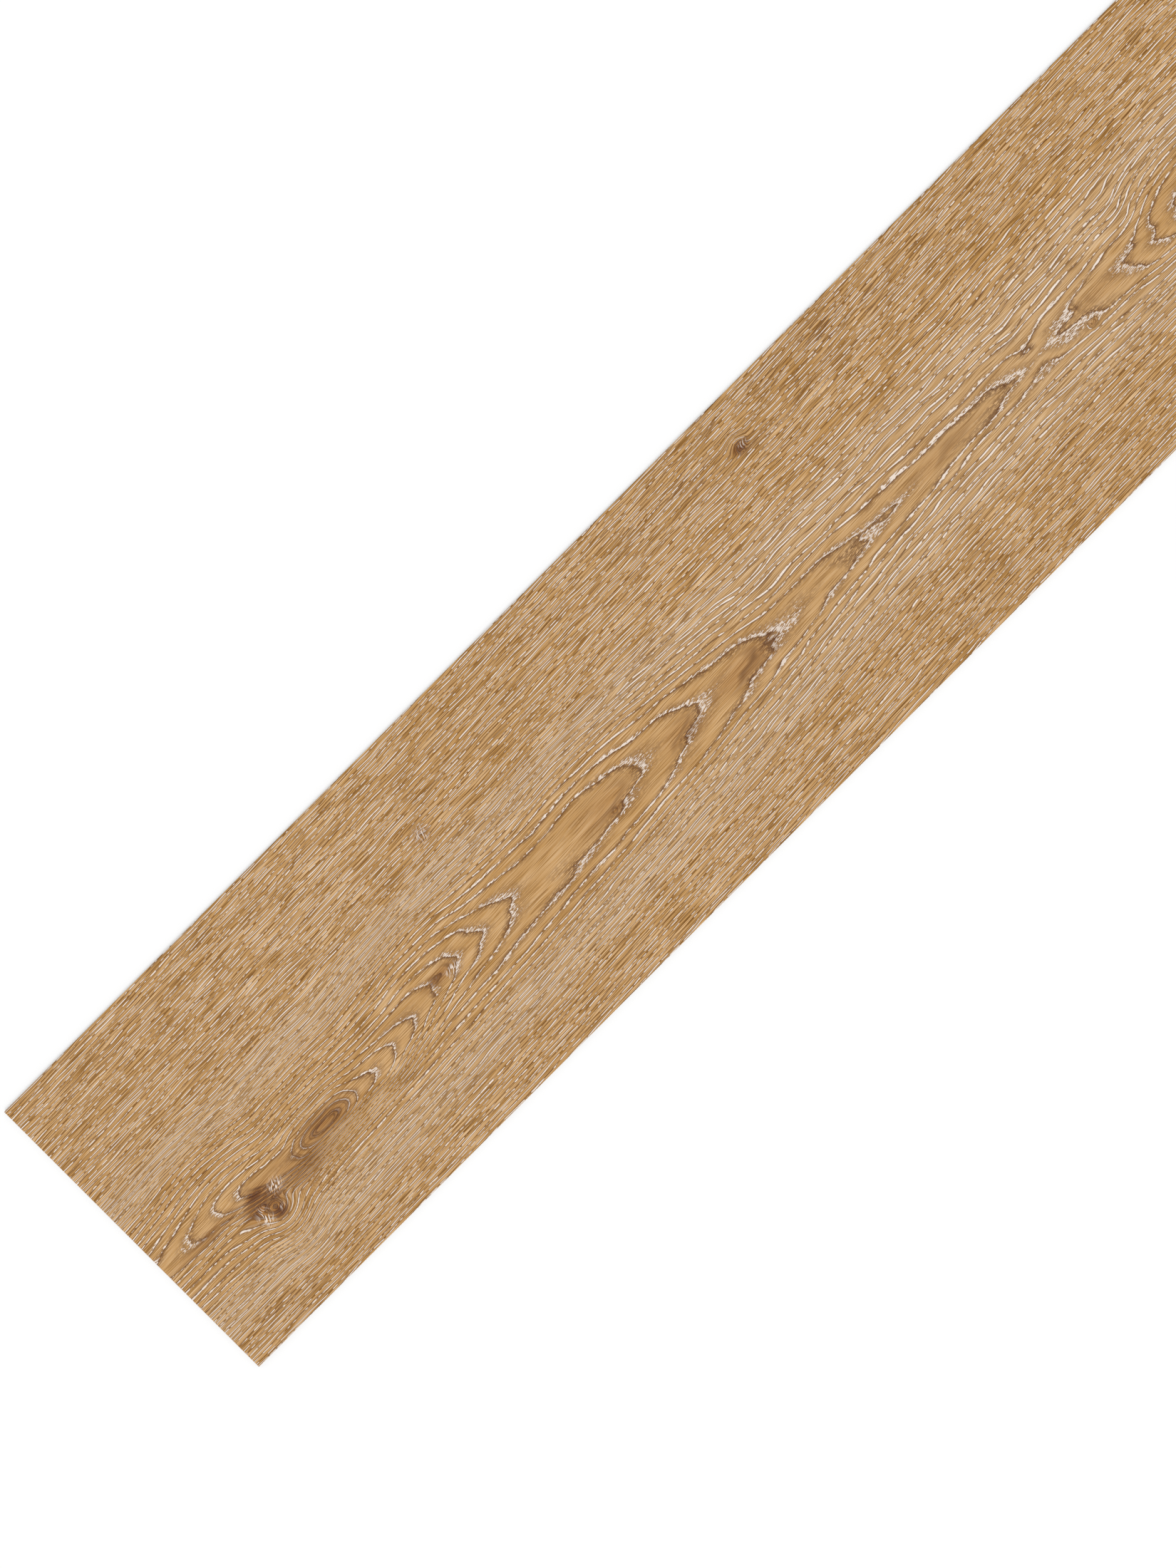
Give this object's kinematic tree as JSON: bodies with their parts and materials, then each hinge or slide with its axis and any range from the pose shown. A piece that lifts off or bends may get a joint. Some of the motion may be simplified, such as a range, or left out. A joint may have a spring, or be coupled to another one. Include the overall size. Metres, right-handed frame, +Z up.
{
  "type": "vinyl floor plank",
  "caption": "Flat glue-down vinyl floor plank with straight-cut edges, a limed-oak printed wear face with rolled arrises and a plain back for bonding to a subfloor.",
  "frame": {"origin": "middle of the back, where the plank meets the floor", "axes": "+X along the length and the printed grain, +Y across the width, +Z up out of the printed face"},
  "size_m": [1.219, 0.184, 0.0025],
  "materials": {
    "printed_vinyl": "matte"
  },
  "bodies": {
    "root": {"plank": "printed_vinyl"}
  },
  "joints": []
}
